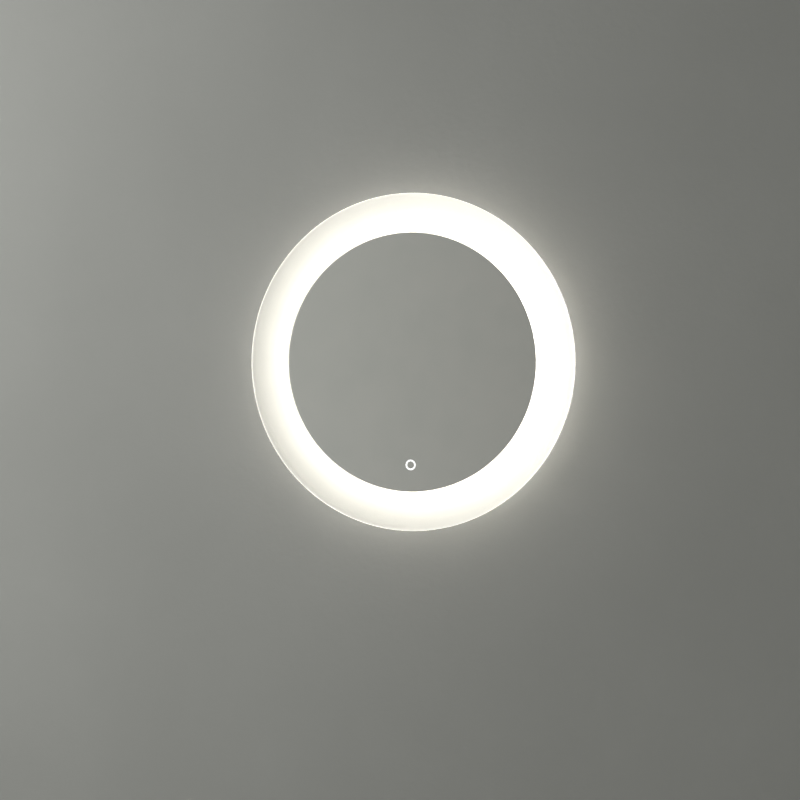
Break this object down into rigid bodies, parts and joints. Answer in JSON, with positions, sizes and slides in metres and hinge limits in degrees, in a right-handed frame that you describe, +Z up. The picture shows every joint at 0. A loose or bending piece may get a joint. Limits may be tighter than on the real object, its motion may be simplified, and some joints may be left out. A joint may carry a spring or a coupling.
{
  "type": "lighted bathroom mirror",
  "caption": "Round wall mirror with a frosted lit rim and a lit touch mark, on a hidden round chassis with an outward-facing light strip; it lifts off its wall rail.",
  "frame": {"origin": "on the wall plane, midway between the two screw holes of the wall rail; the glass centre is 120 mm below it", "axes": "+Y into the wall, -Y towards the room, +Z up, +X to the viewer's right"},
  "size_m": [0.5999, 0.04, 0.6],
  "materials": {
    "float_glass": "clear float glass, sandblasted at the rim",
    "silvering": "silvered",
    "safety_film": "matt film",
    "foam_tape": "closed-cell foam",
    "anodised_aluminium": "satin anodised",
    "opal_acrylic": "opal, satin",
    "strip_laminate": "white solder mask",
    "led_phosphor": "silicone over phosphor",
    "white_nylon": "moulded",
    "black_rubber": "moulded",
    "sheet_aluminium": "mill finish",
    "zinc_steel": "zinc plated",
    "galvanised_steel": "galvanised",
    "rivet_aluminium": "bright",
    "driver_case": "fine spark texture",
    "circuit_laminate": "green solder mask",
    "ferrite": "ground ferrite",
    "winding_tape": "polyester tape over copper",
    "capacitor_sleeve": "shrink sleeve",
    "brass": "turned",
    "tinned_copper": "tinned",
    "clear_acrylic": "clear acrylic with a matt back",
    "sensor_case": "moulded",
    "mains_insulation": "extruded",
    "earth_insulation": "extruded",
    "white_insulation": "extruded"
  },
  "bodies": {
    "wall_rail": {"wall_rail": "galvanised_steel"},
    "mirror": {"mirror_glass": "float_glass", "mirror_silvering": "silvering", "safety_film": "safety_film", "bonding_tape": "foam_tape", "chassis_ring": "anodised_aluminium", "opal_diffuser": "opal_acrylic", "led_strip": "strip_laminate", "led_packages": "led_phosphor", "strip_connector": "white_nylon", "lead_bush": "black_rubber", "back_panel": "sheet_aluminium", "back_panel_screws": "zinc_steel", "cable_grommet": "black_rubber", "hanger_rail": "galvanised_steel", "hanger_rivets": "rivet_aluminium", "wall_bumpers": "black_rubber", "driver_base": "driver_case", "driver_lid": "driver_case", "driver_screws": "zinc_steel", "driver_board": "circuit_laminate", "transformer_core": "ferrite", "transformer_winding": "winding_tape", "input_capacitor": "capacitor_sleeve", "output_capacitors": "capacitor_sleeve", "terminal_block": "white_nylon", "terminal_screws": "brass", "terminal_fixing_screw": "zinc_steel", "earth_tag": "tinned_copper", "earth_screw": "zinc_steel", "icon_light_guide": "clear_acrylic", "sensor_housing": "sensor_case", "sensor_lid": "sensor_case", "sensor_board": "circuit_laminate", "sensor_leds": "led_phosphor", "driver_input_leads": "mains_insulation", "earth_lead": "earth_insulation", "driver_output_lead": "white_insulation", "strip_lead": "white_insulation", "lead_clips": "white_nylon"}
  },
  "joints": [
    {"name": "lift_off", "type": "slide", "parent": "wall_rail", "child": "mirror", "axis": [0, 0, 1], "range_m": [0, 0.014]}
  ]
}
